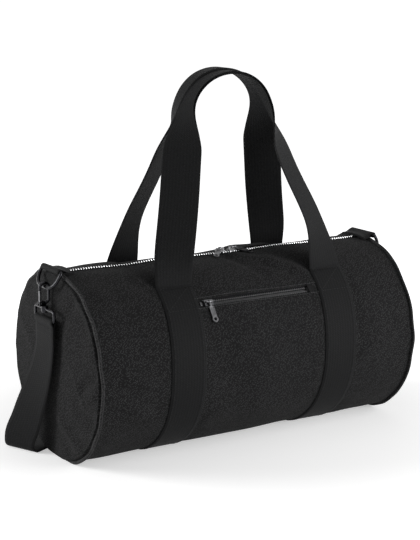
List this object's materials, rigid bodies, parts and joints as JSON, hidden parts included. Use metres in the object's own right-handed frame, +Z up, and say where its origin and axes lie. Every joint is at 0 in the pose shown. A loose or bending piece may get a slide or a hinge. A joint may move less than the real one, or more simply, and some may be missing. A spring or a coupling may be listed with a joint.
{
  "type": "barrel bag",
  "caption": "Black cloth barrel bag with a zipped mouth, zipped front pocket, webbing carry handles and a clip-on shoulder strap on swivel snap hooks and D-rings.",
  "frame": {"origin": "on the floor under the middle of the barrel, on the flat of its base", "axes": "+X along the barrel to its right end, -Y out of the pocket side, +Z up"},
  "size_m": [0.5804, 0.2538, 0.4955],
  "materials": {
    "canvas": "matt plain-weave cloth",
    "lining": "thin matt cloth",
    "webbing": "ribbed matt webbing",
    "zip_tape": "matt tape",
    "main_teeth": "bright",
    "pocket_teeth": "dark satin",
    "zip_metal": "dark nickel satin",
    "hardware": "black satin",
    "gate_steel": "dark satin",
    "adjuster": "matt"
  },
  "bodies": {
    "bag": {"body_panel": "canvas", "left_end_panel": "canvas", "right_end_panel": "canvas", "left_end_piping": "canvas", "right_end_piping": "canvas", "pocket_welt": "canvas", "pocket_lining": "lining", "left_seam_binding": "lining", "right_seam_binding": "lining", "left_body_strap": "webbing", "right_body_strap": "webbing", "left_ring_tab": "webbing", "right_ring_tab": "webbing", "left_strap_drop": "webbing", "right_strap_drop": "webbing", "strap_floor_run": "webbing", "pocket_zip_end_tab": "webbing", "main_zip_front_tape": "zip_tape", "main_zip_back_tape": "zip_tape", "pocket_zip_upper_tape": "zip_tape", "pocket_zip_lower_tape": "zip_tape", "main_zip_front_teeth": "main_teeth", "main_zip_back_teeth": "main_teeth", "main_zip_end_stops": "main_teeth", "pocket_zip_upper_teeth": "pocket_teeth", "pocket_zip_lower_teeth": "pocket_teeth", "pocket_zip_stops": "pocket_teeth"},
    "front_handle": {"front_handle": "webbing"},
    "back_handle": {"back_handle": "webbing"},
    "left_slider": {"main_zip_left_slider": "zip_metal"},
    "right_slider": {"main_zip_right_slider": "zip_metal"},
    "left_pull": {"main_zip_left_pull": "zip_metal"},
    "right_pull": {"main_zip_right_pull": "zip_metal"},
    "pocket_slider": {"pocket_zip_slider": "zip_metal"},
    "pocket_pull": {"pocket_zip_pull": "zip_metal"},
    "adjuster": {"strap_adjuster": "adjuster"},
    "left_ring": {"left_d_ring": "hardware"},
    "left_base": {"left_swivel_base": "hardware", "left_strap_end": "webbing"},
    "left_hook": {"left_hook": "hardware", "left_gate_pin": "gate_steel"},
    "left_gate": {"left_hook_gate": "gate_steel"},
    "right_ring": {"right_d_ring": "hardware"},
    "right_base": {"right_swivel_base": "hardware", "right_strap_end": "webbing"},
    "right_hook": {"right_hook": "hardware", "right_gate_pin": "gate_steel"},
    "right_gate": {"right_hook_gate": "gate_steel"}
  },
  "joints": [
    {"name": "front_handle_fold", "type": "hinge", "parent": "bag", "child": "front_handle", "pos_m": [0, -0.07147, 0.22695], "axis": [1, 0, 0], "range_deg": [0, 115]},
    {"name": "back_handle_fold", "type": "hinge", "parent": "bag", "child": "back_handle", "pos_m": [0, 0.07147, 0.22695], "axis": [-1, 0, 0], "range_deg": [0, 115]},
    {"name": "left_slider_travel", "type": "slide", "parent": "bag", "child": "left_slider", "axis": [-1, 0, 0], "range_m": [0, 0.2], "deforming": ["main_zip_front_teeth", "main_zip_back_teeth"]},
    {"name": "right_slider_travel", "type": "slide", "parent": "bag", "child": "right_slider", "axis": [1, 0, 0], "range_m": [0, 0.16], "deforming": ["main_zip_front_teeth", "main_zip_back_teeth"]},
    {"name": "left_pull_swing", "type": "hinge", "parent": "left_slider", "child": "left_pull", "pos_m": [0.004, 0, 0.25135], "axis": [-1, 0, 0], "range_deg": [0, 150]},
    {"name": "right_pull_swing", "type": "hinge", "parent": "right_slider", "child": "right_pull", "pos_m": [0.024, 0, 0.25135], "axis": [-1, 0, 0], "range_deg": [0, 150]},
    {"name": "pocket_slider_travel", "type": "slide", "parent": "bag", "child": "pocket_slider", "axis": [1, 0, 0], "range_m": [0, 0.14], "deforming": ["pocket_zip_upper_teeth", "pocket_zip_lower_teeth"]},
    {"name": "pocket_pull_swing", "type": "hinge", "parent": "pocket_slider", "child": "pocket_pull", "pos_m": [-0.0705, -0.09486, 0.20522], "axis": [-1, 0, 0], "range_deg": [0, 140]},
    {"name": "adjuster_slide", "type": "slide", "parent": "bag", "child": "adjuster", "axis": [1, 0, 0], "range_m": [-0.06, 0.06]},
    {"name": "left_ring_swing", "type": "hinge", "parent": "bag", "child": "left_ring", "pos_m": [-0.248, 0, 0.25008], "axis": [0, 1, 0], "range_deg": [0, 45], "deforming": ["left_strap_drop"]},
    {"name": "left_base_swing", "type": "hinge", "parent": "bag", "child": "left_base", "pos_m": [-0.248, 0, 0.25008], "axis": [0, 1, 0], "range_deg": [0, 45], "deforming": ["left_strap_drop"]},
    {"name": "left_hook_swivel", "type": "hinge", "parent": "left_base", "child": "left_hook", "pos_m": [-0.25927, 0, 0.25008], "axis": [0, 0, 1], "range_deg": [-25, 25]},
    {"name": "left_gate_open", "type": "hinge", "parent": "left_hook", "child": "left_gate", "pos_m": [-0.26547, 0, 0.20784], "axis": [0, 1, 0], "range_deg": [0, 25], "stiffness_Nm_per_rad": 0.01, "springref_deg": -28.65},
    {"name": "right_ring_swing", "type": "hinge", "parent": "bag", "child": "right_ring", "pos_m": [0.248, 0, 0.25008], "axis": [0, -1, 0], "range_deg": [0, 45], "deforming": ["right_strap_drop"]},
    {"name": "right_base_swing", "type": "hinge", "parent": "bag", "child": "right_base", "pos_m": [0.248, 0, 0.25008], "axis": [0, -1, 0], "range_deg": [0, 45], "deforming": ["right_strap_drop"]},
    {"name": "right_hook_swivel", "type": "hinge", "parent": "right_base", "child": "right_hook", "pos_m": [0.25927, 0, 0.25008], "axis": [0, 0, 1], "range_deg": [-25, 25]},
    {"name": "right_gate_open", "type": "hinge", "parent": "right_hook", "child": "right_gate", "pos_m": [0.26547, 0, 0.20784], "axis": [0, -1, 0], "range_deg": [0, 25], "stiffness_Nm_per_rad": 0.01, "springref_deg": -28.65}
  ],
  "couplings": [
    {"joint": "left_base_swing", "follows": "left_ring_swing", "ratio": 1},
    {"joint": "right_base_swing", "follows": "right_ring_swing", "ratio": 1}
  ]
}
